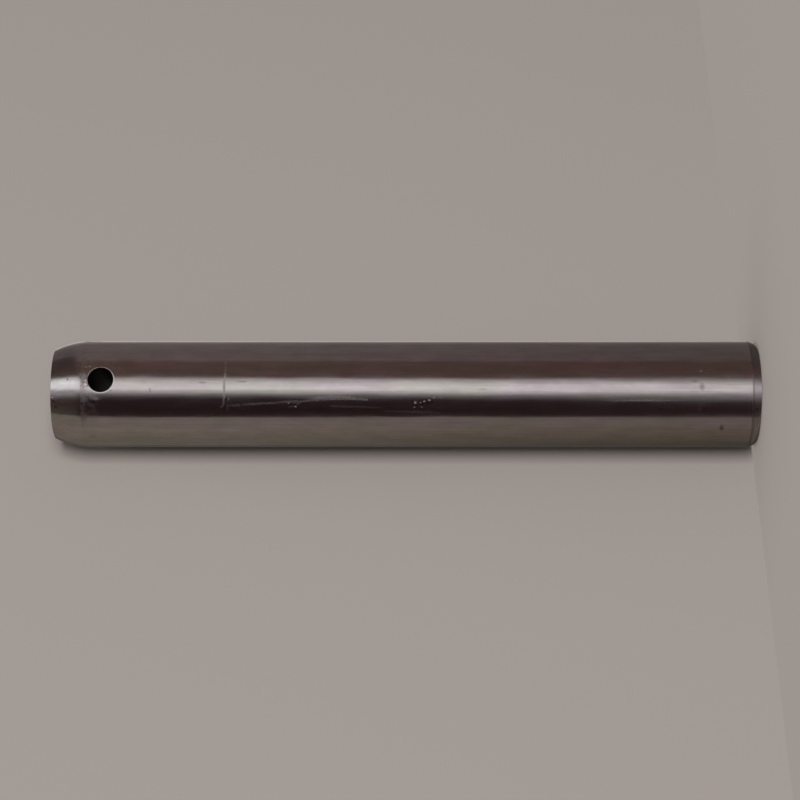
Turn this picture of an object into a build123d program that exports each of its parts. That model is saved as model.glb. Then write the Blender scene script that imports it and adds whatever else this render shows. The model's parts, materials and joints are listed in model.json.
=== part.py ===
from build123d import *
import os

# Bucket pin: one solid steel bar turned to size, which hinges a digger's bucket on its arm.
# Its bullet nose leads it into the bores, and a bolt through the cross hole keeps it there.
# It stands on its flat tail face, with +Z along the pin towards the nose and the cross hole along Y.

# Shank, in millimetres
shank_d = 80.0
pin_length = 530.0

# Bullet nose: a curve that leaves the shank smoothly and stops at the flat nose face
nose_length = 26.5
nose_depth = 6.25
nose_rim_r = 0.8

# Tail: a shorter curve of the same kind, down to the flat face that the pin stands on
tail_length = 6.5
tail_depth = 3.1
tail_rim_r = 0.5

# Cross hole, with a strip of plain shank left between its rounded mouth and the nose
cross_hole_d = 19.0
cross_hole_rim_r = 1.0
cross_hole_land = 1.0

shank_r = shank_d / 2
nose_start = pin_length - nose_length
cross_hole_z = nose_start - cross_hole_land - cross_hole_rim_r - cross_hole_d / 2

with BuildPart() as bucket_pin:
    # Half of the outline, with the pin's own axis as its straight side
    with BuildSketch(Plane.XZ):
        with BuildLine():
            tail_face = Line((0, 0), (shank_r - tail_depth, 0))
            shank = Line((shank_r, tail_length), (shank_r, nose_start))
            nose_face = Line((shank_r - nose_depth, pin_length), (0, pin_length))
            TangentArc(shank @ 0, tail_face @ 1, tangent=(0, -1))
            TangentArc(shank @ 1, nose_face @ 0, tangent=(0, 1))
            Line(nose_face @ 1, tail_face @ 0)
        make_face()
        fillet(vertices().group_by(Axis.Y)[0].sort_by(Axis.X).last, tail_rim_r)
        fillet(vertices().group_by(Axis.Y)[-1].sort_by(Axis.X).last, nose_rim_r)
    revolve(axis=Axis.Z)

    # The hole goes straight through the middle, and both of its mouths are rounded over
    with Locations(Plane(origin=(0, 0, cross_hole_z), z_dir=(0, -1, 0))):
        Hole(cross_hole_d / 2)
    mouths = edges(Select.LAST).filter_by(GeomType.LINE, reverse=True)
    fillet(mouths, cross_hole_rim_r)

bucket_pin.part.label = "bucket_pin"
os.makedirs("parts", exist_ok=True)
export_step(bucket_pin.part, "parts/bucket_pin.step")
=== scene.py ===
import json
from math import asin, atan2, cos, pi, radians, sin, sqrt

import bpy
from mathutils import Matrix, Vector


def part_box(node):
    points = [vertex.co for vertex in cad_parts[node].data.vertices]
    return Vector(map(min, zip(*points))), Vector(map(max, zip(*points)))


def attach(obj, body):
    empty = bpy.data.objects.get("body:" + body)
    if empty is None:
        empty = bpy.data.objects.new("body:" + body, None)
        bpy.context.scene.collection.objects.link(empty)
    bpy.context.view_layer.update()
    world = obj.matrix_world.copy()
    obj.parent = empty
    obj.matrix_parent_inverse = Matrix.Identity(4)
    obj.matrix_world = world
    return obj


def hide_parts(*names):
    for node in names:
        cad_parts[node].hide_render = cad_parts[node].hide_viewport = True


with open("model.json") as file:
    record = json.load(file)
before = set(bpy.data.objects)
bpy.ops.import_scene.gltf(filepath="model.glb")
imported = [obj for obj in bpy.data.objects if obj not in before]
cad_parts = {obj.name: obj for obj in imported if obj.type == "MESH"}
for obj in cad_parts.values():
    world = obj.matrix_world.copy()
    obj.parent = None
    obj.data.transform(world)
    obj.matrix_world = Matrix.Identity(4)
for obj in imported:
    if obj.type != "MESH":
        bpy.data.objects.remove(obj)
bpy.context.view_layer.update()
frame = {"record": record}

MM = 0.001

# Sizes that the frame gives
MOUNTS = {mount["name"]: mount for mount in frame["record"]["mounts"]}
SHANK_R = MOUNTS["shank"]["dims"]["r_mm"] * MM
SHANK_HALF = MOUNTS["shank"]["dims"]["length_mm"] * MM / 2
HOLE_R = MOUNTS["cross_hole"]["dims"]["r_mm"] * MM
HOLE_Z = MOUNTS["cross_hole"]["pos_m"][2]
PIN_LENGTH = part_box("bucket_pin")[1][2]
TAIL_LENGTH = MOUNTS["shank"]["pos_m"][2] - SHANK_HALF
NOSE_START = MOUNTS["shank"]["pos_m"][2] + SHANK_HALF
NOSE_LENGTH = PIN_LENGTH - NOSE_START

# Sizes of the end curves and rounded edges
NOSE_DEPTH = 6.25 * MM
NOSE_RIM_R = 0.8 * MM
TAIL_DEPTH = 3.1 * MM
TAIL_RIM_R = 0.5 * MM

# The hole's mouths are worn to a shallow dish that ends in a small rounding
DISH_WIDTH = 1.2 * MM
DISH_SLOPE = radians(13)
MOUTH_RIM_R = 0.45 * MM

# Shallow turned grooves, one just past the start of the nose and one where the tail's curve starts
NOSE_GROOVE_Z = 505.4 * MM
TAIL_GROOVE_Z = 6.5 * MM
NOSE_GROOVE_HALF = 1.8 * MM
TAIL_GROOVE_HALF = 0.8 * MM
NOSE_GROOVE_DEPTH = 0.05 * MM
TAIL_GROOVE_DEPTH = 0.035 * MM
# The stretch of shank beside the tail's groove, whose grid is as fine as the groove needs
TAIL_LAND = 1.5 * MM

# The photograph's view: where the camera stands, and where it looks
CAMERA_AZIMUTH = radians(-15.9)
CAMERA_DISTANCE = 1860 * MM
CAMERA_HEIGHT = 269.3 * MM
AIM_BELOW_AXIS = 4.5 * MM
FOCAL_LENGTH = 110.3
SENSOR_WIDTH = 36.0
CAMERA_REACH = 100.0

TOWARDS_CAMERA = Vector((sin(CAMERA_AZIMUTH), -cos(CAMERA_AZIMUTH), 0))
PICTURE_UP = Vector((cos(CAMERA_AZIMUTH), sin(CAMERA_AZIMUTH), 0))
PICTURE_RIGHT = Vector((0, 0, -1))


def spaced(first, last, steps):
    """Evenly spaced numbers from first to last, both included."""
    return [first + (last - first) * i / steps for i in range(steps + 1)]


def direction(turn):
    """The level direction that lies turn degrees round from the camera, towards the picture's top."""
    angle = CAMERA_AZIMUTH + radians(turn)
    return Vector((sin(angle), -cos(angle), 0))


# Camera

def make_camera():
    data = bpy.data.cameras.new("camera")
    data.lens = FOCAL_LENGTH
    data.sensor_width = SENSOR_WIDTH
    data.clip_end = CAMERA_REACH
    camera = bpy.data.objects.new("camera", data)
    bpy.context.collection.objects.link(camera)
    turned = Matrix((PICTURE_RIGHT, PICTURE_UP, TOWARDS_CAMERA)).transposed()
    aim = Vector((0, 0, CAMERA_HEIGHT)) - AIM_BELOW_AXIS * PICTURE_UP
    place = Matrix.Translation(aim + CAMERA_DISTANCE * TOWARDS_CAMERA)
    camera.matrix_world = place @ turned.to_4x4()
    bpy.context.scene.camera = camera


# The pin's mesh: a turned surface with a fine grid, and a ring of faces round each mouth of the hole

# How many faces or rings each stretch of it has
AROUND = 288
RIM_STEPS = 6
TAIL_STEPS = 24
LAND_STEPS = 10
NOSE_STEPS = 64
FACE_RINGS = 8
SHANK_STEPS = 60
MOUTH_HALF_COLUMNS = 16
MOUTH_ROWS = 14
MOUTH_RINGS = 5
DISH_RINGS = 6
BORE_STEPS = 16


class Surface:
    """Points with their exact normals, and the faces between them."""

    def __init__(self):
        self.points, self.normals, self.faces = [], [], []

    def point(self, place, normal):
        self.points.append(Vector(place))
        self.normals.append(Vector(normal).normalized())
        return len(self.points) - 1

    def strip(self, lower, upper, closed=True, flip=False):
        """Faces between two rows with as many points each."""
        for i in range(len(lower) if closed else len(lower) - 1):
            j = (i + 1) % len(lower)
            face = (lower[i], lower[j], upper[j], upper[i])
            self.faces.append(face[::-1] if flip else face)

    def fan(self, centre, ring, flip=False):
        for i in range(len(ring)):
            face = (centre, ring[i], ring[(i + 1) % len(ring)])
            self.faces.append(face[::-1] if flip else face)

    def mesh(self, name):
        made = bpy.data.meshes.new(name)
        made.from_pydata(self.points, [], self.faces)
        made.shade_smooth()
        made.normals_split_custom_set_from_vertices(self.normals)
        return made


def end_curve(length, depth, rim_r, steps):
    """Radius, distance in from the end face, and the normal's outward and endward parts, face first."""
    curve_r = (length**2 + depth**2) / (2 * depth)
    curve_centre = SHANK_R - curve_r
    join = asin((length - rim_r) / (curve_r - rim_r))
    rim_centre = curve_centre + (curve_r - rim_r) * cos(join)
    rows = [(rim_centre * i / FACE_RINGS, 0, 0, 1) for i in range(1, FACE_RINGS)]
    for t in spaced(pi / 2, join, RIM_STEPS):
        rows.append((rim_centre + rim_r * cos(t), rim_r * (1 - sin(t)), cos(t), sin(t)))
    for t in spaced(join, 0, steps)[1:]:
        rows.append((curve_centre + curve_r * cos(t), length - curve_r * sin(t), cos(t), sin(t)))
    return rows


def mouth_outline(surface, grid, first_row, last_row, side):
    """The grid's points round one mouth, in order, and their angles about the hole's axis."""
    middle = AROUND * 3 // 4 if side < 0 else AROUND // 4
    half = MOUTH_HALF_COLUMNS

    def at(row, offset):
        return grid[row][(middle - side * offset) % AROUND]

    loop = [at(first_row, d) for d in range(-half, half)]
    loop += [at(row, half) for row in range(first_row, last_row)]
    loop += [at(last_row, d) for d in range(half, -half, -1)]
    loop += [at(row, -half) for row in range(last_row, first_row, -1)]
    angles = [atan2(surface.points[i].z - HOLE_Z, surface.points[i].x) for i in loop]
    return loop, angles


def towards_hole(angle):
    """The level direction in to the hole's axis, from an angle about it."""
    return Vector((-cos(angle), 0, -sin(angle)))


def dish_point(side, radius, angle, depth, slope):
    """A point so deep under the shank's surface, and a normal that leans in to the hole by slope."""
    x = radius * cos(angle)
    outward = Vector((x, side * sqrt(SHANK_R**2 - x**2), 0)) / SHANK_R
    place = (SHANK_R - depth) * outward + Vector((0, 0, HOLE_Z + radius * sin(angle)))
    return place, cos(slope) * outward + sin(slope) * towards_hole(angle)


def mouth_rings(surface, loop, angles, side):
    """Rings of points from the grid in to the dish, over it, and round its edge to the hole's wall."""
    dish_r = HOLE_R + DISH_WIDTH
    ends = [dish_point(side, dish_r, angle, 0, 0)[0] for angle in angles]
    for share in spaced(0, 1, MOUTH_RINGS)[1:]:
        ring = []
        for start, end in zip(loop, ends):
            begin = surface.points[start]
            x, z = begin.x + (end.x - begin.x) * share, begin.z + (end.z - begin.z) * share
            y = side * sqrt(SHANK_R**2 - x**2)
            ring.append(surface.point((x, y, z), (x, y, 0)))
        yield ring

    # The dish's own curve, an arc that starts level with the shank
    dish_curve = DISH_WIDTH / sin(DISH_SLOPE)
    inner = DISH_WIDTH - MOUTH_RIM_R * (1 - sin(DISH_SLOPE))
    for reach in spaced(0, inner, DISH_RINGS)[1:]:
        slope = asin(reach / dish_curve)
        depth = dish_curve * (1 - cos(slope))
        made = [dish_point(side, dish_r - reach, angle, depth, slope) for angle in angles]
        yield [surface.point(place, normal) for place, normal in made]

    centres = [place - MOUTH_RIM_R * normal.normalized() for place, normal in made]
    for share in spaced(0, 1, RIM_STEPS)[1:]:
        ring = []
        for angle, centre, (place, begin) in zip(angles, centres, made):
            normal = begin.normalized().slerp(towards_hole(angle), share)
            ring.append(surface.point(centre + MOUTH_RIM_R * normal, normal))
        yield ring


def add_mouth(surface, loop, angles, side):
    """The faces from the grid in to the hole's wall. Returns the wall's first ring."""
    last = loop
    for ring in mouth_rings(surface, loop, angles, side):
        surface.strip(last, ring, flip=side > 0)
        last = ring
    return last


def add_bore(surface, front, back, angles):
    """The hole's wall between its two mouths."""
    last = front
    for share in spaced(0, 1, BORE_STEPS)[1:-1]:
        ring = []
        for start, end, angle in zip(front, back, angles):
            place = surface.points[start].lerp(surface.points[end], share)
            ring.append(surface.point(place, towards_hole(angle)))
        surface.strip(last, ring)
        last = ring
    surface.strip(last, back)


def grooved(row, middle, half, deepest):
    """A profile row, lowered where it lies in the groove, with its normal turned to match."""
    r, z, out, up = row
    share = (z - middle) / half
    if abs(share) >= 1:
        return row
    depth = deepest * (1 + cos(pi * share)) / 2
    slope = -deepest * pi * sin(pi * share) / (2 * half)
    return (r - depth, z, out, up + slope * out)


def straight(low, high, steps):
    """Profile rows of plain shank."""
    return [(SHANK_R, z, 1, 0) for z in spaced(low, high, steps)]


def profile():
    """Rows of radius, height, and the normal's outward and upward parts, from the tail face to the nose
    face, and which of them is the first that the hole's mouths meet."""
    tail_rows = end_curve(TAIL_LENGTH, TAIL_DEPTH, TAIL_RIM_R, TAIL_STEPS)
    nose_rows = end_curve(NOSE_LENGTH, NOSE_DEPTH, NOSE_RIM_R, NOSE_STEPS)
    land_end = TAIL_LENGTH + TAIL_LAND
    mouth_low = 2 * HOLE_Z - NOSE_START
    tail = [(r, h, out, -end) for r, h, out, end in tail_rows]
    tail += straight(TAIL_LENGTH, land_end, LAND_STEPS)[1:]
    tail = [grooved(row, TAIL_GROOVE_Z, TAIL_GROOVE_HALF, TAIL_GROOVE_DEPTH) for row in tail]
    shank = straight(land_end, mouth_low, SHANK_STEPS)[1:]
    mouth = straight(mouth_low, NOSE_START, MOUTH_ROWS)[1:-1]
    nose = [(r, PIN_LENGTH - h, out, end) for r, h, out, end in reversed(nose_rows)]
    nose = [grooved(row, NOSE_GROOVE_Z, NOSE_GROOVE_HALF, NOSE_GROOVE_DEPTH) for row in nose]
    return tail + shank + mouth + nose, len(tail) + len(shank) - 1


def add_turned_faces(surface, grid, first_row, last_row):
    """The faces between the grid's rows, open at both mouths of the hole, and the middle of each end."""
    quarter, half = AROUND // 4, MOUTH_HALF_COLUMNS
    spans = ((quarter + half, 3 * quarter - half), (half - quarter, quarter - half))
    for row, (lower, upper) in enumerate(zip(grid, grid[1:])):
        if first_row <= row < last_row:
            for start, end in spans:
                columns = [j % AROUND for j in range(start, end + 1)]
                surface.strip([lower[j] for j in columns], [upper[j] for j in columns], closed=False)
        else:
            surface.strip(lower, upper)
    surface.fan(surface.point((0, 0, 0), (0, 0, -1)), grid[0], flip=True)
    surface.fan(surface.point((0, 0, PIN_LENGTH), (0, 0, 1)), grid[-1])


def make_pin():
    surface = Surface()
    rows, first_row = profile()
    last_row = first_row + MOUTH_ROWS
    turns = [2 * pi * j / AROUND for j in range(AROUND)]
    grid = [
        [surface.point((r * cos(t), r * sin(t), z), (out * cos(t), out * sin(t), up)) for t in turns]
        for r, z, out, up in rows
    ]
    add_turned_faces(surface, grid, first_row, last_row)

    front_loop, angles = mouth_outline(surface, grid, first_row, last_row, -1)
    back_loop, back_angles = mouth_outline(surface, grid, first_row, last_row, 1)
    front = add_mouth(surface, front_loop, angles, -1)
    back = add_mouth(surface, back_loop, back_angles, 1)
    add_bore(surface, front, back, angles)

    pin = bpy.data.objects.new("pin", surface.mesh("pin"))
    bpy.context.collection.objects.link(pin)
    return pin


# Materials

# Blender's Mix node has two inputs and an output of its own for each kind of data, at these places
COLOUR_SOCKETS = (6, 7, 2)
VALUE_SOCKETS = (2, 3, 0)


class Nodes:
    """Short names for the nodes that the materials below use."""

    def __init__(self, tree):
        self.tree = tree
        tree.nodes.clear()

    def add(self, kind, **settings):
        node = self.tree.nodes.new(kind)
        for name, value in settings.items():
            setattr(node, name, value)
        return node

    def feed(self, socket, value):
        if isinstance(value, bpy.types.NodeSocket):
            self.tree.links.new(value, socket)
        else:
            socket.default_value = value

    def math(self, operation, *values, clamp=False):
        node = self.add("ShaderNodeMath", operation=operation, use_clamp=clamp)
        for socket, value in zip(node.inputs, values):
            self.feed(socket, value)
        return node.outputs[0]

    def vector(self, operation, *values, scale=None):
        node = self.add("ShaderNodeVectorMath", operation=operation)
        for socket, value in zip(node.inputs, values):
            self.feed(socket, value)
        if scale is not None:
            self.feed(node.inputs["Scale"], scale)
        single = operation in ("DOT_PRODUCT", "LENGTH", "DISTANCE")
        return node.outputs["Value" if single else "Vector"]

    def fade(self, value, first, last, to_first=0.0, to_last=1.0):
        """to_first at first, to_last at last, smooth between them and level beyond."""
        node = self.add("ShaderNodeMapRange", interpolation_type="SMOOTHSTEP")
        for name, given in (
            ("Value", value), ("From Min", first), ("From Max", last),
            ("To Min", to_first), ("To Max", to_last),
        ):
            self.feed(node.inputs[name], given)
        return node.outputs["Result"]

    def noise(self, vector, scale=1.0, detail=2.0, roughness=0.5, output="Fac"):
        node = self.add("ShaderNodeTexNoise")
        self.feed(node.inputs["Vector"], vector)
        for name, given in (("Scale", scale), ("Detail", detail), ("Roughness", roughness)):
            node.inputs[name].default_value = given
        return node.outputs[output]

    def mix(self, kind, sockets, share, first, second):
        node = self.add("ShaderNodeMix", data_type=kind)
        from_first, from_second, result = sockets
        self.feed(node.inputs["Factor"], share)
        self.feed(node.inputs[from_first], first)
        self.feed(node.inputs[from_second], second)
        return node.outputs[result]

    def mix_colour(self, share, first, second):
        return self.mix("RGBA", COLOUR_SOCKETS, share, first, second)

    def mix_value(self, share, first, second):
        return self.mix("FLOAT", VALUE_SOCKETS, share, first, second)

    def mix_shader(self, share, first, second):
        node = self.add("ShaderNodeMixShader")
        for socket, value in zip(node.inputs, (share, first.outputs[0], second.outputs[0])):
            self.feed(socket, value)
        return node

    def end_with(self, shader, output="ShaderNodeOutputMaterial"):
        self.feed(self.add(output).inputs["Surface"], shader.outputs[0])


def new_material(name):
    material = bpy.data.materials.new(name)
    material.use_nodes = True
    return material, Nodes(material.node_tree)


# Marks on the steel. Each point is a height in millimetres above the tail face, and an angle in degrees
# round from the camera towards the picture's top
RING_LINE = ((399.5, 40), (399.2, 24), (399.9, 10), (400.2, -9), (400.8, -12.5), (402.3, -14.1))
RING_LINE_TWIN = ((396.9, -5.5), (397.1, -10), (397.7, -16.5))
LONG_SCRATCH = (
    (397.3, -12.8), (373.1, -10.4), (353.1, -8.5), (344.0, -8.1), (329.8, -6.2), (316.8, -5.2), (304.0, -5.0),
    (294.0, -6.1),
)
SCRATCH_TWIN = ((331.0, -3.7), (326.1, -3.3), (310.4, -3.0))
SCRATCH_BRANCH = ((351.7, -14.1), (346.7, -12.3), (343.0, -8.6))
# Each scratch is its points, its width in millimetres and how much it shows
SCRATCHES = (
    (RING_LINE, 2.6, 0.50), (RING_LINE_TWIN, 2.0, 0.42), (LONG_SCRATCH, 2.8, 0.50), (SCRATCH_TWIN, 3.0, 0.40),
    (SCRATCH_BRANCH, 2.2, 0.46),
)
FINE_WIDTH = 2.2
FINE_LINES = (
    ((320.4, -12.8), (312.7, -13.4), (283.4, -14.9)),
    ((279.8, -18.7), (262.0, -19.4), (240.4, -20.3)),
)
FAINT_LINES = (
    ((155.0, 24.0), (128.0, 24.5)),
    ((318.0, 13.8), (296.0, 13.2)),
)
# Each spot or dent is a height, an angle, and its reach along and round the pin in millimetres
DENTS = (
    (257.8, -8.6, 1.1, 1.9), (254.2, -9.2, 0.6, 0.4), (251.2, -7.3, 0.9, 1.1), (247.5, -6.4, 1.4, 0.7),
    (244.1, -3.4, 0.5, 0.7), (238.8, -3.6, 0.4, 0.6), (258.4, -14.0, 1.2, 0.4), (253.0, -13.8, 0.8, 0.45),
    (351.9, -9.4, 0.8, 0.9), (347.0, -13.4, 0.8, 0.7), (46.4, -16.4, 1.4, 1.6), (45.3, 24.7, 0.8, 0.7),
    (528.3, -3.5, 0.9, 0.9), (500.1, 30.6, 0.8, 0.6), (503.0, 29.6, 0.7, 0.6), (484.0, 3.0, 0.7, 0.7),
)
PITS = (
    (257.9, -12.1, 1.7, 1.2), (253.0, -10.7, 1.6, 1.2), (248.4, -9.5, 1.5, 1.1), (245.5, -8.3, 1.2, 1.0),
    (260.1, -6.9, 0.8, 1.5), (351.0, -10.6, 0.9, 1.2), (398.4, -6.0, 0.8, 2.0), (396.6, -9.0, 1.2, 1.0),
    (498.3, -8.1, 3.2, 1.4), (75.5, -16.5, 4.0, 0.9), (43.0, -17.2, 1.2, 1.4), (3.6, -16.9, 1.8, 1.8),
    (6.1, -19.5, 1.2, 1.2), (527.6, -9.0, 1.6, 2.0), (525.8, -16.0, 1.5, 1.4),
)
DARK_SPOTS = (
    (507.1, 18.0, 1.3, 1.6), (505.2, 9.6, 0.9, 1.2), (481.3, 31.6, 1.4, 0.9), (475.8, 23.7, 1.9, 1.1),
    (485.0, 35.1, 1.2, 0.8), (29.3, -39.5, 2.8, 4.6), (6.0, 55.0, 0.8, 4.5), (516.5, 16.4, 1.1, 1.6),
)
# Faint dirt spots; the long thin one at 90 mm and -3.9 degrees is the dark edge of a painted reflection line,
# and the one at 399.9 mm darkens the ring line only where it crosses the bright band, as painted reflection
FAINT_SPOTS = (
    (90.0, -3.9, 44.0, 1.2), (50.2, 13.8, 5.0, 2.0), (44.8, 7.8, 3.2, 4.4), (42.9, 28.3, 3.0, 2.4),
    (399.9, 7.5, 1.5, 8.6), (8.4, 34.0, 3.4, 1.4), (5.4, -42.0, 1.2, 9.0), (1.6, 20.0, 1.8, 6.0),
    (386.5, 13.2, 5.5, 0.9), (416.3, 12.3, 4.5, 1.1), (455.0, 4.0, 1.2, 2.6), (504.2, -2.4, 2.4, 1.8),
    (499.6, -3.0, 2.4, 1.6),
)
STAINS = (
    (474.0, 35.0, 11.0, 7.0), (528.0, -12.0, 3.0, 5.0), (494.0, 34.0, 9.0, 6.0), (506.0, 27.0, 4.0, 9.0),
    (43.0, 30.0, 11.0, 5.0), (504.5, -27.0, 3.6, 5.0), (499.0, -53.0, 5.0, 4.0), (45.4, -11.4, 4.2, 3.6),
)
# Pale, rougher spots of wear; the long thin one at 90 mm and -7 degrees is a painted light line of
# reflection, and the one at 257.8 mm is a painted glint on the dent there
PALE_PATCHES = (
    (327.0, -4.3, 17.0, 1.3), (8.6, -36.0, 3.2, 4.5), (310.0, -3.5, 10.0, 1.0), (495.5, -5.0, 5.5, 2.6),
    (523.5, 51.5, 5.5, 1.3), (208.0, 5.0, 6.0, 1.5), (514.4, 14.0, 1.0, 4.0), (90.0, -7.0, 48.0, 1.2),
    (257.8, -8.8, 1.9, 2.2),
)

# Large faint tints of tarnish, redder or greyer than the rest, placed as the spots are
RED_TINTS = (
    (455.0, 38.0, 40.0, 8.5), (204.0, 44.0, 40.0, 9.0), (120.0, 40.0, 46.0, 9.0),
)
GREY_TINTS = (
    (345.0, 62.0, 38.0, 9.0), (300.0, 60.0, 34.0, 8.0), (219.0, 62.0, 22.0, 9.0), (222.0, 40.0, 22.0, 9.0),
    (48.0, 62.0, 16.0, 8.0),
)

STEEL_PURPLE = (0.394, 0.334, 0.328, 1)
STEEL_OLIVE = (0.376, 0.341, 0.298, 1)
STEEL_RED = (0.420, 0.331, 0.322, 1)
STEEL_GREY = (0.360, 0.346, 0.322, 1)
# Lighter steel for scratches and wear, also used for the painted highlights among the pale patches
STEEL_WORN_AND_HIGHLIGHTS = (0.47, 0.43, 0.405, 1)
# A darker colour over the tail's curved end
DARK_TAIL_END = (0.20, 0.175, 0.17, 1)
# Dark dirt for spots and pits, also used for painted shade: dark reflection lines and the ring at the tail's
# groove
GRIME_AND_PAINTED_SHADE = (0.055, 0.040, 0.028, 1)
OIL_STAIN = (0.30, 0.235, 0.165, 1)
DULLED = (0.25, 0.215, 0.20, 1)
# The hole's wall, painted almost black as painted shade inside the hole
BORE_PAINTED_SHADE = (0.030, 0.027, 0.026, 1)

METAL = 1.0
# Roughness of the polished steel, of scratches, of stains, of the soiled collar and of dirt
POLISHED = 0.14
DULL = 0.52
OILY = 0.34
SOILED_ROUGH = 0.31
DIRTY = 0.5

# A little unevenness, so that no mark has a perfect edge: its noise's scale and detail, and its reach in
# millimetres
WANDER_SCALE = 1100
WANDER_DETAIL = 1
WANDER_REACH = (1.1, 1.6, 0)
NOISE_MIDDLE = (0.5, 0.5, 0.5)

# A line is whole out to the first share of its width, and gone at the second
LINE_FADE = (0.15, 0.5)
FAINT_LINE_SHARE = 0.4
FINE_LINE_SHARE = 0.38
LINE_SHARE = 0.8
BROKEN_LEAST = 0.6

# How strongly the finer parts of a noise show
PLAIN = 0.5
CLOUDY = 0.6
# Each noise's grains, in millimetres round the pin and along it, its detail, and how strongly that shows
BROKEN_NOISE = ((2, 6), 2, PLAIN)
PATCH_NOISE = ((14, 55), 3, PLAIN)
STREAK_NOISE = ((1.6, 60), 3, CLOUDY)
CLOUD_NOISE = ((9, 22), 4, CLOUDY)
SMUDGE_NOISE = ((8, 30), 4, CLOUDY)
GRINDING_NOISE = ((2.2, 90), 2, PLAIN)
WAVE_NOISE = ((9, 45), 1, PLAIN)
# The finest noises have grains as long as they are wide: how many there are to the metre, and their detail
SPECKLE_NOISE = (420, 3)
GRIT_NOISE = (620, 2)

# Between which of its values each noise fades from none to all
BROKEN_FADE = (0.3, 0.55)
PATCH_FADE = (0.36, 0.64)
STREAK_FADE = (0.3, 0.7)
CLOUD_FADE = (0.3, 0.7)
SMUDGE_FADE = (0.35, 0.7)
SPECKLE_FADE = (0.40, 0.62)
GRIT_FADE = (0.48, 0.60)

# How much streaks and clouds darken or lighten the steel, and how much smudges and the tail's haze roughen it
STREAK_LEVELS = (0.94, 1.05)
CLOUD_LEVELS = (0.92, 1.06)
SMUDGE_LEVELS = (POLISHED - 0.01, POLISHED + 0.035)
HAZE_HEIGHTS = (150, 10)
HAZE = 0.045

# How much of its own colour or roughness each mark has
DARK_TAIL_END_SHARE = 0.55
STAIN_SHARE = 0.55
STAIN_ROUGH_SHARE = 0.5
WEAR_AND_HIGHLIGHT_SHARE = 0.6
PALE_SHARE = 0.48
DARK_SHARE = 0.75
FAINT_SHARE = 0.38
GRIT_SHARE = 0.55
PAST_HOLE_SHARE = 0.28
TAIL_LINE_SHARE = 0.35
SPECKLE_LEAST = 0.25
COLLAR_LEAST = 0.6

# Rings round the pin, each with its middle, half width and softness in millimetres
COLLAR_RING = (NOSE_GROOVE_Z / MM, 1.6, 0.7)
PAST_HOLE_RING = (500, 5.5, 3.0)
TAIL_LINE_RING = (TAIL_GROOVE_Z / MM, 0.75, 0.6)
BORE_RING = (HOLE_Z / MM, 10.5, 0.2)

# The collar is soiled on the side towards the camera, out to these distances round in millimetres
SOILED_FADE = (14, 24)
SOILED_SHARE = 0.65
# Grit that has stuck between the collar and the hole, placed as a spot is
GRIT_PLACE = (502.5, 13.0, 6.5, 13.0)
# How far in under the shank's surface the hole's wall is painted dark, as painted shade inside the hole
BORE_DEPTHS = (1.1 * MM, 0.5 * MM)
# Turning marks fade in over this length past the nose's start, and over this length to either side of the
# tail's edge, in millimetres
NOSE_TURNED = 3
TAIL_TURNED = 0.5

# Heights of the relief in millimetres, and the pitch of the turning marks
GRINDING_HEIGHT = 0.014
WAVE_HEIGHT = 0.11
TURNED_HEIGHT = 0.03
TURNED_PITCH = 0.9
DENT_DEPTH = 0.16


class PinCoordinates:
    """Where a point of the pin lies: height and distance round in millimetres, and radius in metres."""

    def __init__(self, nodes):
        self.place = nodes.add("ShaderNodeTexCoord").outputs["Object"]
        across = nodes.vector("DOT_PRODUCT", self.place, tuple(PICTURE_UP))
        forward = nodes.vector("DOT_PRODUCT", self.place, tuple(TOWARDS_CAMERA))
        turn = nodes.math("ARCTAN2", across, forward)
        self.height = nodes.math("DIVIDE", nodes.vector("DOT_PRODUCT", self.place, (0, 0, 1)), MM)
        self.radius = nodes.vector("LENGTH", nodes.vector("MULTIPLY", self.place, (1, 1, 0)))
        flat = nodes.add("ShaderNodeCombineXYZ")
        nodes.feed(flat.inputs["X"], nodes.math("MULTIPLY", turn, SHANK_R / MM))
        nodes.feed(flat.inputs["Y"], self.height)
        wander = nodes.noise(self.place, WANDER_SCALE, WANDER_DETAIL, output="Color")
        drift = nodes.vector("SUBTRACT", wander, NOISE_MIDDLE)
        drift = nodes.vector("MULTIPLY", drift, WANDER_REACH)
        self.flat = nodes.vector("ADD", flat.outputs["Vector"], drift)

    def noise(self, nodes, grain, detail, roughness):
        """A noise whose grains are so long round the pin and along it."""
        across, along = grain
        scale = (1 / (across * MM), 1 / (across * MM), 1 / (along * MM))
        stretched = nodes.vector("MULTIPLY", self.place, scale)
        return nodes.noise(stretched, detail=detail, roughness=roughness)


def on_shank(height, degrees_round):
    """A point given as height and angle, in millimetres round and along the pin."""
    return Vector((SHANK_R / MM * radians(degrees_round), height, 0))


def line_mask(nodes, pin_at, points, width):
    """1 along a line through the points, and 0 beyond its width."""
    nearest = None
    for first, last in zip(points, points[1:]):
        start, end = on_shank(*first), on_shank(*last)
        run = end - start
        offset = nodes.vector("SUBTRACT", pin_at.flat, tuple(start))
        share = nodes.vector("DOT_PRODUCT", offset, tuple(run / run.length_squared))
        share = nodes.math("ADD", share, 0, clamp=True)
        foot = nodes.vector("SCALE", tuple(run), scale=share)
        away = nodes.vector("DISTANCE", offset, foot)
        nearest = away if nearest is None else nodes.math("MINIMUM", nearest, away)
    core, edge = LINE_FADE
    return nodes.fade(nearest, width * core, width * edge, 1, 0)


def spot_mask(nodes, pin_at, height, degrees_round, along, around):
    """1 in the middle of a soft oval spot, and 0 at its edge."""
    offset = nodes.vector("SUBTRACT", pin_at.flat, tuple(on_shank(height, degrees_round)))
    share = nodes.vector("LENGTH", nodes.vector("MULTIPLY", offset, (1 / around, 1 / along, 0)))
    return nodes.fade(share, 0, 1, 1, 0)


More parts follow.
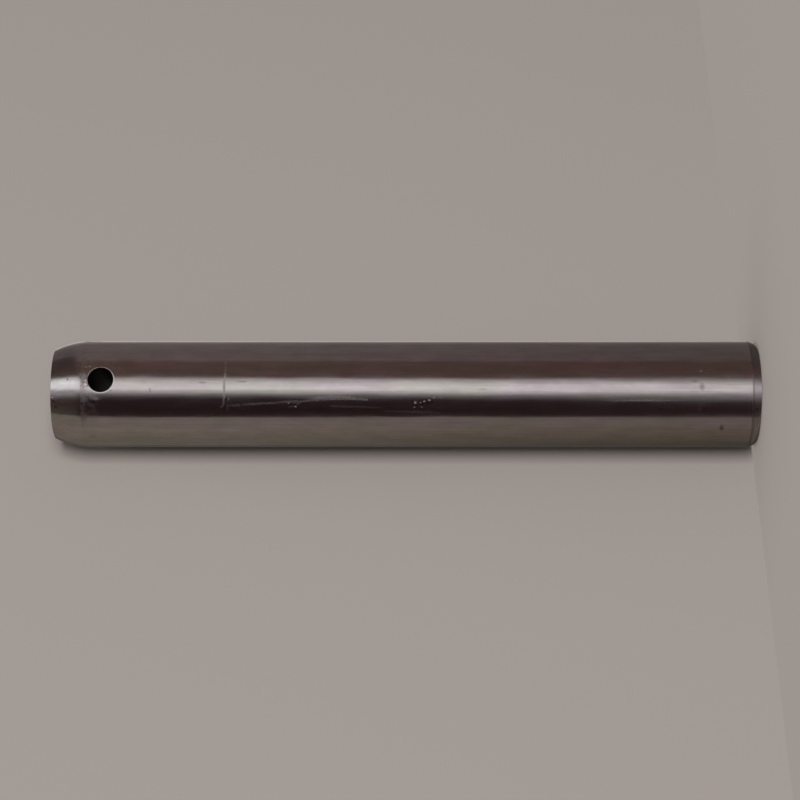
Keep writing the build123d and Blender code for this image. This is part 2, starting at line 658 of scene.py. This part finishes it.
def most_of(nodes, masks):
    """The largest of the masks. A generator of masks keeps each next to its comparison, which the
    renderer's small stack needs."""
    total = None
    for mask in masks:
        total = mask if total is None else nodes.math("MAXIMUM", total, mask)
    return total


def ring_mask(nodes, height, ring):
    """1 in a band round the pin, with soft edges."""
    middle, half, soft = ring
    away = nodes.math("ABSOLUTE", nodes.math("SUBTRACT", height, middle))
    return nodes.fade(away, half - soft, half + soft, 1, 0)


def scratch_masks(nodes, pin_at):
    """The lines that read light on dark steel, each a little broken along its length."""
    deep = most_of(nodes, (
        nodes.math("MULTIPLY", line_mask(nodes, pin_at, points, width), share)
        for points, width, share in SCRATCHES
    ))
    fine = most_of(nodes, (line_mask(nodes, pin_at, points, FINE_WIDTH) for points in FINE_LINES))
    faint = most_of(nodes, (line_mask(nodes, pin_at, points, FINE_WIDTH) for points in FAINT_LINES))
    fine = nodes.math("MAXIMUM", fine, nodes.math("MULTIPLY", faint, FAINT_LINE_SHARE))
    lines = nodes.math("MAXIMUM", deep, nodes.math("MULTIPLY", fine, FINE_LINE_SHARE))
    broken = nodes.fade(pin_at.noise(nodes, *BROKEN_NOISE), *BROKEN_FADE, BROKEN_LEAST, 1)
    return nodes.math("MULTIPLY", lines, nodes.math("MULTIPLY", broken, LINE_SHARE))


def steel_colour(nodes, pin_at, masks):
    """Ground steel under thin patches of oil and tarnish, with dirt in its marks, a darker tail end, a few
    painted highlights and painted dark reflection lines, painted shade in the tail's groove, and the hole's
    wall painted dark as shade.
    """
    patches = nodes.fade(pin_at.noise(nodes, *PATCH_NOISE), *PATCH_FADE)
    colour = nodes.mix_colour(patches, STEEL_PURPLE, STEEL_OLIVE)
    for tints, tinted in ((RED_TINTS, STEEL_RED), (GREY_TINTS, STEEL_GREY)):
        tint = most_of(nodes, (spot_mask(nodes, pin_at, *place) for place in tints))
        colour = nodes.mix_colour(tint, colour, tinted)
    level = nodes.fade(pin_at.noise(nodes, *STREAK_NOISE), *STREAK_FADE, *STREAK_LEVELS)
    clouds = nodes.fade(pin_at.noise(nodes, *CLOUD_NOISE), *CLOUD_FADE, *CLOUD_LEVELS)
    level = nodes.math("MULTIPLY", level, clouds)
    colour = nodes.vector("SCALE", colour, scale=level)
    colour = nodes.mix_colour(nodes.math("MULTIPLY", masks["tail_edge"], DARK_TAIL_END_SHARE), colour, DARK_TAIL_END)
    colour = nodes.mix_colour(nodes.math("MULTIPLY", masks["stain"], STAIN_SHARE), colour, OIL_STAIN)
    colour = nodes.mix_colour(masks["soiled"], colour, DULLED)
    colour = nodes.mix_colour(nodes.math("MULTIPLY", masks["worn"], WEAR_AND_HIGHLIGHT_SHARE), colour, STEEL_WORN_AND_HIGHLIGHTS)
    # Dirt, pits and painted shade: dark reflection lines and the dark ring at the tail's groove
    colour = nodes.mix_colour(nodes.math("MAXIMUM", masks["grime"], masks["pits"]), colour, GRIME_AND_PAINTED_SHADE)
    # The hole's wall is painted dark, as painted shade inside the hole
    return nodes.mix_colour(masks["bore"], colour, BORE_PAINTED_SHADE)


def steel_roughness(nodes, pin_at, masks):
    rough = nodes.fade(pin_at.noise(nodes, *SMUDGE_NOISE), *SMUDGE_FADE, *SMUDGE_LEVELS)
    rough = nodes.math("ADD", rough, nodes.fade(pin_at.height, *HAZE_HEIGHTS, 0, HAZE))
    rough = nodes.mix_value(nodes.math("MULTIPLY", masks["stain"], STAIN_ROUGH_SHARE), rough, OILY)
    rough = nodes.mix_value(masks["dull"], rough, SOILED_ROUGH)
    rough = nodes.mix_value(masks["worn"], rough, DULL)
    return nodes.mix_value(nodes.math("MAXIMUM", masks["grime"], masks["bore"]), rough, DIRTY)


def steel_height(nodes, pin_at, masks):
    """Height in millimetres: grinding streaks, slow waves, turning marks at the ends, and dents."""
    streaks = pin_at.noise(nodes, *GRINDING_NOISE)
    waves = pin_at.noise(nodes, *WAVE_NOISE)
    height = nodes.math("MULTIPLY", streaks, GRINDING_HEIGHT)
    height = nodes.math("MULTIPLY_ADD", waves, WAVE_HEIGHT, height)
    rings = nodes.add("ShaderNodeCombineXYZ")
    nodes.feed(rings.inputs["X"], nodes.math("MULTIPLY", pin_at.radius, 1 / (TURNED_PITCH * MM)))
    nodes.feed(rings.inputs["Y"], nodes.math("MULTIPLY", pin_at.height, 1 / TURNED_PITCH))
    turned = nodes.math("MULTIPLY", nodes.noise(rings.outputs["Vector"]), masks["turned"])
    height = nodes.math("MULTIPLY_ADD", turned, TURNED_HEIGHT, height)
    return nodes.math("MULTIPLY_ADD", masks["dents"], -DENT_DEPTH, height)


def steel_masks(nodes, pin_at):
    """Where each kind of mark lies, from 0 to 1."""
    masks = {}
    height = pin_at.height
    above = nodes.fade(height, NOSE_START / MM, NOSE_START / MM + NOSE_TURNED)
    below = nodes.fade(height, TAIL_LENGTH / MM + TAIL_TURNED, TAIL_LENGTH / MM - TAIL_TURNED)
    masks["turned"] = nodes.math("MAXIMUM", above, below)
    masks["tail_edge"] = below
    masks["scratch"] = scratch_masks(nodes, pin_at)
    masks["dents"] = most_of(nodes, (spot_mask(nodes, pin_at, *dent) for dent in DENTS))

    speckle = nodes.noise(pin_at.place, *SPECKLE_NOISE)
    speckle = nodes.fade(speckle, *SPECKLE_FADE, SPECKLE_LEAST, 1)
    collar = ring_mask(nodes, height, COLLAR_RING)
    uneven = nodes.fade(speckle, SPECKLE_LEAST, 1, COLLAR_LEAST, 1)
    masks["dull"] = nodes.math("MULTIPLY", collar, uneven)
    away = nodes.math("ABSOLUTE", nodes.vector("DOT_PRODUCT", pin_at.flat, (1, 0, 0)))
    soiled = nodes.fade(away, *SOILED_FADE, SOILED_SHARE, 0)
    masks["soiled"] = nodes.math("MULTIPLY", masks["dull"], soiled)
    past_hole = nodes.math("MULTIPLY", ring_mask(nodes, height, PAST_HOLE_RING), speckle)
    past_hole = nodes.math("MULTIPLY", past_hole, PAST_HOLE_SHARE)
    pale = most_of(nodes, (spot_mask(nodes, pin_at, *patch) for patch in PALE_PATCHES))
    pale = nodes.math("MULTIPLY", pale, PALE_SHARE)
    # Scratches, wear past the hole and pale patches, two of which are painted highlights
    masks["worn"] = most_of(nodes, [masks["scratch"], past_hole, pale])

    spots = most_of(nodes, (spot_mask(nodes, pin_at, *spot) for spot in DARK_SPOTS))
    faint = most_of(nodes, (spot_mask(nodes, pin_at, *spot) for spot in FAINT_SPOTS))
    spots = nodes.math("MULTIPLY", spots, DARK_SHARE)
    spots = nodes.math("MAXIMUM", spots, nodes.math("MULTIPLY", faint, FAINT_SHARE))
    gritty = nodes.fade(nodes.noise(pin_at.place, *GRIT_NOISE), *GRIT_FADE)
    gritty = nodes.math("MULTIPLY", gritty, spot_mask(nodes, pin_at, *GRIT_PLACE))
    spots = nodes.math("MAXIMUM", spots, nodes.math("MULTIPLY", gritty, GRIT_SHARE))
    masks["pits"] = most_of(nodes, (spot_mask(nodes, pin_at, *pit) for pit in PITS))
    # A dark ring along the tail's groove, painted shade in the crease where the tail's curve starts
    tail_line = nodes.math("MULTIPLY", ring_mask(nodes, height, TAIL_LINE_RING), TAIL_LINE_SHARE)
    masks["grime"] = nodes.math("MAXIMUM", spots, tail_line)
    masks["stain"] = most_of(nodes, (spot_mask(nodes, pin_at, *stain) for stain in STAINS))

    deep, shallow = BORE_DEPTHS
    inside = nodes.fade(pin_at.radius, SHANK_R - deep, SHANK_R - shallow, 1, 0)
    masks["bore"] = nodes.math("MULTIPLY", inside, ring_mask(nodes, height, BORE_RING))
    return masks


def steel_material():
    material, nodes = new_material("ground_steel")
    pin_at = PinCoordinates(nodes)
    masks = steel_masks(nodes, pin_at)
    shader = nodes.add("ShaderNodeBsdfPrincipled")
    shader.inputs["Metallic"].default_value = METAL
    nodes.feed(shader.inputs["Base Color"], steel_colour(nodes, pin_at, masks))
    nodes.feed(shader.inputs["Roughness"], steel_roughness(nodes, pin_at, masks))
    bump = nodes.add("ShaderNodeBump")
    bump.inputs["Distance"].default_value = MM
    nodes.feed(bump.inputs["Height"], steel_height(nodes, pin_at, masks))
    nodes.feed(shader.inputs["Normal"], bump.outputs["Normal"])
    nodes.end_with(shader)
    return material


# Studio

# What the steel reflects. Upright panels stand all round the pin, each from one angle to another in degrees
# round from the camera towards the picture's top, with its colour and its brightness at both edges
WARM = (1.0, 0.885, 0.8)
PURPLE = (1.0, 0.90, 0.93)
OLIVE = (1.0, 0.935, 0.825)
MOSS = (1.0, 0.89, 0.715)
DUSK = (1.0, 0.89, 0.865)
MAUVE = (1.01, 0.85, 0.885)
BROWN = (1.02, 0.73, 0.69)
RUSSET = (1.03, 0.665, 0.66)
MAROON = (1.0, 0.60, 0.70)
COOL = (1.0, 1.03, 1.11)
CLEAR = (1.0, 1.065, 1.145)
CLEAREST = (1.0, 1.10, 1.20)
TAIL_SURROUNDINGS = (
    (-180, -150, WARM, 0.05, 0.05),
    (-150, -75, WARM, 0.15, 0.30),
    (-75, -51, OLIVE, 0.29, 0.24),
    (-51, -30, WARM, 0.085, 0.07),
    (-30, 0, BROWN, 0.08, 0.12),
    (0, 36, BROWN, 0.10, 0.17),
    (36, 70, BROWN, 0.17, 0.13),
    (70, 100, WARM, 0.12, 0.15),
    (100, 180, WARM, 0.15, 0.08),
)
LOW_SURROUNDINGS = (
    (-180, -150, WARM, 0.08, 0.09),
    (-150, -75, MOSS, 0.08, 0.235),
    (-75, -51.5, DUSK, 0.245, 0.275),
    (-51.5, -30, MAROON, 0.048, 0.030),
    (-30, 0, MAROON, 0.044, 0.044),
    (0, 36, RUSSET, 0.070, 0.118),
    (36, 76, RUSSET, 0.128, 0.125),
    (76, 106, MAUVE, 0.165, 0.16),
    (106, 140, PURPLE, 0.16, 0.155),
    (140, 160, WARM, 0.17, 0.25),
    (160, 180, COOL, 0.47, 0.47),
)
HIGH_SURROUNDINGS = (
    (-180, -150, WARM, 0.11, 0.125),
    (-150, -75, OLIVE, 0.195, 0.35),
    (-75, -51.3, DUSK, 0.31, 0.335),
    (-51.3, -30, MAROON, 0.048, 0.030),
    (-30, 0, MAROON, 0.036, 0.038),
    (0, 36, BROWN, 0.088, 0.145),
    (36, 76, BROWN, 0.155, 0.17),
    (76, 106, MAUVE, 0.24, 0.23),
    (106, 140, PURPLE, 0.23, 0.22),
    (140, 160, WARM, 0.23, 0.336),
    (160, 180, COOL, 0.63, 0.63),
)
NOSE_SURROUNDINGS = (
    (-180, -150, WARM, 0.12, 0.12),
    (-150, -75, WARM, 0.24, 0.34),
    (-75, -49, OLIVE, 0.30, 0.30),
    (-49, -30, WARM, 0.10, 0.08),
    (-30, 0, BROWN, 0.08, 0.08),
    (0, 36, BROWN, 0.08, 0.10),
    (36, 76, BROWN, 0.10, 0.095),
    (76, 92, PURPLE, 0.085, 0.10),
    (92, 140, PURPLE, 0.17, 0.18),
    (140, 180, WARM, 0.18, 0.18),
)
# The bright strip that leans across them, seen by the tail's side, the shank and the nose
TAIL_STRIP = (
    (-25, -13, CLEAR, 0.0, 0.0),
    (-11, -3, CLEAR, 0.17, 0.20),
    (-3, 3, CLEAR, 0.25, 0.46),
    (3, 8, CLEAR, 0.56, 0.90),
    (8, 24, CLEAR, 1.15, 1.06),
    (24, 30, CLEAR, 0.76, 0.60),
    (30, 37, CLEAR, 0.40, 0.22),
    (38, 50, CLEAR, 0.0, 0.0),
)
SHANK_STRIP = (
    (-25, -12, CLEAR, 0.0, 0.0),
    (-12, -3, CLEAR, 0.0, 0.22),
    (-3, 9, CLEAR, 0.26, 1.20),
    (9, 18, CLEAR, 1.36, 1.32),
    (18, 28, CLEAR, 1.18, 0.82),
    (28, 33.3, CLEAR, 0.68, 0.52),
    (34, 50, CLEAR, 0.0, 0.0),
)
NOSE_STRIP = (
    (-25, -16, CLEAREST, 0.0, 0.0),
    (-16, -7, CLEAREST, 0.0, 0.27),
    (-7, 2, CLEAREST, 0.34, 0.47),
    (2, 7, CLEAREST, 0.55, 1.10),
    (7, 18, CLEAREST, 1.40, 1.64),
    (18, 28, CLEAREST, 1.68, 1.32),
    (28, 34, CLEAREST, 1.10, 0.80),
    (35, 50, CLEAREST, 0.0, 0.0),
)
# Each list of panels gives way to the next between two elevations in degrees, from the lowest list up
SURROUNDINGS = (
    (TAIL_SURROUNDINGS, -20, -12), (LOW_SURROUNDINGS, -9, 8), (HIGH_SURROUNDINGS, 12, 24),
    (NOSE_SURROUNDINGS,),
)
STRIP_LIGHT = (
    (TAIL_STRIP, -7.5, -2), (SHANK_STRIP, 12, 24), (NOSE_STRIP,),
)
# The strip leans by this share of the elevation
STRIP_LEAN = 0.4
LEAN_REACH = 10
HALF_TURN = 180
PANEL_GAP = 0.3
DOME_R = 40.0
DOME_SEGMENTS = 64
DOME_RINGS = 32
# Where, behind the pin, a turn gives way to its plain measure, as the forward part of a direction
BEHIND = (-0.6, -0.35)
PHOTO_FLOOR_TURN = 40
STAGE_REACH = 6.0
STAGE_COLOUR = (0.352, 0.316, 0.296, 1)
# The floor's own brightness to the camera, which keeps the shadow under the tail's edge soft
FLOOR_GLOW = (0.318, 0.288, 0.268, 1)
GLOW_SHARE = 0.5
# The world's light on the object, and how bright it looks to the camera and in reflections
WORLD_COLOUR = (1, 0.985, 0.965, 1)
AMBIENT = 0.22
BACKDROP_BRIGHTNESS = 0.6
# Each lamp's name, its turn and elevation in degrees, its distance and size in metres, and its watts
LAMPS = (
    ("front", 20, 4, 5, (2.6, 2.2), 210),
    ("overhead", 130, 88, 5, (2.4, 2.4), 200),
)


def panel_ramp(nodes, turn, panels):
    """The panels' colours as a ramp over a turn given in degrees."""
    ramp = nodes.add("ShaderNodeValToRGB")
    stops = ramp.color_ramp.elements
    for first, last, colour, bright_first, bright_last in panels:
        for edge, bright in ((first + PANEL_GAP, bright_first), (last - PANEL_GAP, bright_last)):
            stop = stops.new((edge + HALF_TURN) / (2 * HALF_TURN))
            stop.color = (*(bright * part for part in colour), 1)
    stops.remove(stops[0])
    stops.remove(stops[-1])
    share = nodes.math("MULTIPLY_ADD", turn, 1 / (2 * HALF_TURN), 0.5)
    nodes.feed(ramp.inputs[0], share)
    return ramp.outputs["Color"]


def stacked_panels(nodes, turn, elevation, stack):
    """One list of panels above another, as colours over turn and elevation."""
    below, *between = stack[0]
    colour = panel_ramp(nodes, turn, below)
    for panels, *edges in stack[1:]:
        share = nodes.fade(elevation, *between)
        colour = nodes.mix_colour(share, colour, panel_ramp(nodes, turn, panels))
        between = edges
    return colour


def dome_material():
    """Panels that any turned surface shows to the camera as straight bands, whatever its slope."""
    material, nodes = new_material("studio_panels")
    here = nodes.vector("NORMALIZE", nodes.add("ShaderNodeTexCoord").outputs["Object"])
    across = nodes.vector("DOT_PRODUCT", here, tuple(PICTURE_UP))
    forward = nodes.vector("DOT_PRODUCT", here, tuple(TOWARDS_CAMERA))
    up = nodes.vector("DOT_PRODUCT", here, (0, 0, 1))
    elevation = nodes.math("DEGREES", nodes.math("ARCSINE", up))
    half = nodes.math("ARCTAN2", across, nodes.math("ADD", forward, 1))
    straight = nodes.math("MULTIPLY", half, 2)
    plain = nodes.math("ARCTAN2", across, forward)
    turn = nodes.mix_value(nodes.fade(forward, *BEHIND), plain, straight)
    turn = nodes.math("DEGREES", turn)

    nearby = nodes.math("MINIMUM", nodes.math("MAXIMUM", elevation, -LEAN_REACH), LEAN_REACH)
    leaning = nodes.math("MULTIPLY_ADD", nearby, -STRIP_LEAN, turn)
    strip = stacked_panels(nodes, leaning, elevation, STRIP_LIGHT)
    around = stacked_panels(nodes, turn, elevation, SURROUNDINGS)
    shader = nodes.add("ShaderNodeEmission")
    nodes.feed(shader.inputs["Color"], nodes.vector("ADD", strip, around))
    nodes.end_with(shader)
    material.cycles.emission_sampling = "NONE"
    return material


def make_dome():
    bpy.ops.mesh.primitive_uv_sphere_add(segments=DOME_SEGMENTS, ring_count=DOME_RINGS, radius=DOME_R)
    dome = bpy.context.object
    dome.name = "studio_panels"
    dome.location = (0, 0, PIN_LENGTH / 2)
    dome.data.materials.append(dome_material())
    dome.visible_camera = False
    dome.visible_diffuse = False
    dome.visible_shadow = False


def make_sheet(name, middle, across, up, material):
    """A flat stage sheet, seen and lit from its front only, that casts and reflects nothing."""
    corners = [middle + i * across + j * up for i, j in ((-1, -1), (1, -1), (1, 1), (-1, 1))]
    data = bpy.data.meshes.new(name)
    data.from_pydata(corners, [], [(0, 1, 2, 3)])
    sheet = bpy.data.objects.new(name, data)
    bpy.context.collection.objects.link(sheet)
    data.materials.append(material)
    sheet.visible_glossy = False
    sheet.visible_diffuse = False
    sheet.visible_shadow = False


def backdrop_material():
    """Pale and matt in front, clear from behind."""
    material, nodes = new_material("backdrop")
    matt = nodes.add("ShaderNodeBsdfDiffuse")
    matt.inputs["Color"].default_value = STAGE_COLOUR
    clear = nodes.add("ShaderNodeBsdfTransparent")
    behind = nodes.add("ShaderNodeNewGeometry").outputs["Backfacing"]
    nodes.end_with(nodes.mix_shader(behind, matt, clear))
    return material


def floor_material():
    """Matt, with a share of plain brightness that only the camera sees."""
    material, nodes = new_material("floor")
    matt = nodes.add("ShaderNodeBsdfDiffuse")
    matt.inputs["Color"].default_value = STAGE_COLOUR
    glow = nodes.add("ShaderNodeEmission")
    glow.inputs["Color"].default_value = FLOOR_GLOW
    camera_ray = nodes.add("ShaderNodeLightPath").outputs["Is Camera Ray"]
    share = nodes.math("MULTIPLY", camera_ray, GLOW_SHARE)
    nodes.end_with(nodes.mix_shader(share, matt, glow))
    material.cycles.emission_sampling = "NONE"
    return material


def make_stage():
    normal = direction(PHOTO_FLOOR_TURN)
    up = Vector((0, 0, 1))
    make_sheet(
        "backdrop", -SHANK_R * normal, STAGE_REACH * up.cross(normal), STAGE_REACH * up, backdrop_material()
    )
    make_sheet(
        "floor", Vector((0, 0, 0)), Vector((STAGE_REACH, 0, 0)), Vector((0, STAGE_REACH, 0)),
        floor_material(),
    )


def make_lamp(name, turn, elevation, distance, size, watts):
    """A rectangular lamp that faces the pin's middle, and that the steel doesn't reflect."""
    data = bpy.data.lights.new(name, "AREA")
    data.shape = "RECTANGLE"
    data.size, data.size_y = size
    data.energy = watts
    lamp = bpy.data.objects.new(name, data)
    bpy.context.collection.objects.link(lamp)
    slope = radians(elevation)
    towards = direction(turn) * cos(slope) + Vector((0, 0, sin(slope)))
    lamp.location = Vector((0, 0, PIN_LENGTH / 2)) + distance * towards
    lamp.rotation_euler = towards.to_track_quat("Z", "Y").to_euler()
    lamp.visible_glossy = False
    lamp.visible_camera = False


def make_world():
    world = bpy.data.worlds.new("studio")
    bpy.context.scene.world = world
    world.use_nodes = True
    nodes = Nodes(world.node_tree)
    rays = nodes.add("ShaderNodeLightPath").outputs
    seen = nodes.math("ADD", rays["Is Camera Ray"], rays["Is Glossy Ray"])
    seen = nodes.math("ADD", seen, rays["Is Transmission Ray"], clamp=True)
    background = nodes.add("ShaderNodeBackground")
    background.inputs["Color"].default_value = WORLD_COLOUR
    nodes.feed(background.inputs["Strength"], nodes.mix_value(seen, AMBIENT, BACKDROP_BRIGHTNESS))
    nodes.end_with(background, "ShaderNodeOutputWorld")


make_camera()
pin = make_pin()
pin.data.materials.append(steel_material())
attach(pin, "root")
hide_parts("bucket_pin")
make_dome()
make_stage()
for lamp in LAMPS:
    make_lamp(*lamp)
make_world()
bpy.context.scene.view_settings.view_transform = "Standard"
